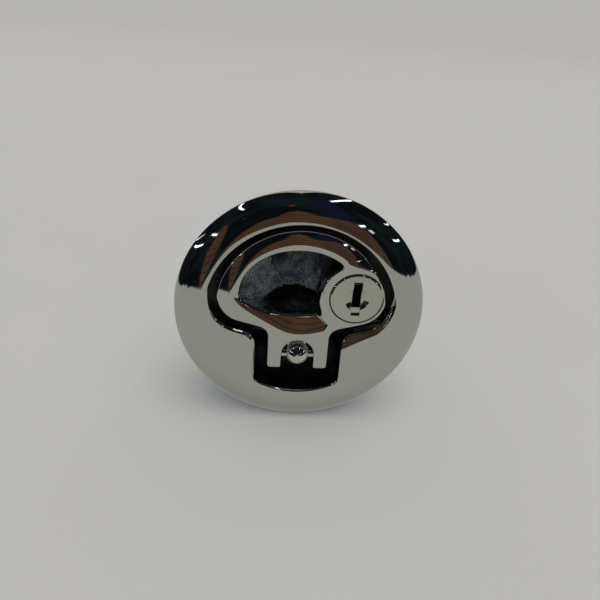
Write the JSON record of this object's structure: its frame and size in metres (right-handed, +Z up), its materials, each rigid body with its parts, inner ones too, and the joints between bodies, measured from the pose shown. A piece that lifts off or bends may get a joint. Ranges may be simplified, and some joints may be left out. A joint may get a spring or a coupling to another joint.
{
  "type": "flush pull latch",
  "caption": "Round chrome flush pull latch with a lift handle on a ball-headed hinge post, a sprung bolt behind the flange and a cylinder lock in the handle.",
  "frame": {"origin": "centre of the back face of the flange, where it lies on the panel", "axes": "as fixed in a vertical door: +Z up, +Y into the panel, so the face looks along -Y; +X to the right as seen from the front"},
  "size_m": [0.063, 0.0271, 0.063],
  "materials": {
    "chrome_face": "polished",
    "chrome_lock": "polished",
    "die_cast": "satin",
    "plated_steel": "satin",
    "bolt_steel": "satin",
    "spring_steel": "satin",
    "wafer_brass": "satin"
  },
  "bodies": {
    "frame": {"housing": "chrome_face", "mounting_nut": "die_cast", "hinge_pin": "chrome_face", "hinge_post": "chrome_face", "post_nut": "plated_steel", "bolt_spring_left": "spring_steel", "bolt_spring_right": "spring_steel", "rear_cover": "die_cast", "cover_screw_1": "plated_steel", "cover_screw_2": "plated_steel", "cover_screw_3": "plated_steel", "cover_screw_4": "plated_steel"},
    "lever": {"handle": "chrome_face", "lock_shell": "die_cast"},
    "bolt": {"bolt": "bolt_steel"},
    "plug": {"lock_plug": "chrome_lock", "wafer_1": "wafer_brass", "wafer_2": "wafer_brass", "wafer_3": "wafer_brass", "wafer_4": "wafer_brass", "wafer_spring_1": "spring_steel", "wafer_spring_2": "spring_steel", "wafer_spring_3": "spring_steel", "wafer_spring_4": "spring_steel", "locking_tongue": "plated_steel", "tongue_washer": "plated_steel", "tongue_screw": "plated_steel"}
  },
  "joints": [
    {"name": "handle_lift", "type": "hinge", "parent": "frame", "child": "lever", "pos_m": [0, -0.003, -0.0107], "axis": [1, 0, 0], "range_deg": [0, 45], "stiffness_Nm_per_rad": 0.02, "springref_deg": -28.65},
    {"name": "bolt_slide", "type": "slide", "parent": "frame", "child": "bolt", "axis": [0, 0, 1], "range_m": [0, 0.00635], "deforming": ["bolt_spring_left", "bolt_spring_right"]},
    {"name": "plug_turn", "type": "hinge", "parent": "lever", "child": "plug", "pos_m": [0.0135, -0.005, 0.0064], "axis": [0, -1, 0], "range_deg": [0, 90]}
  ],
  "couplings": [
    {"joint": "bolt_slide", "follows": "handle_lift", "m_per_rad": 0.00808}
  ]
}
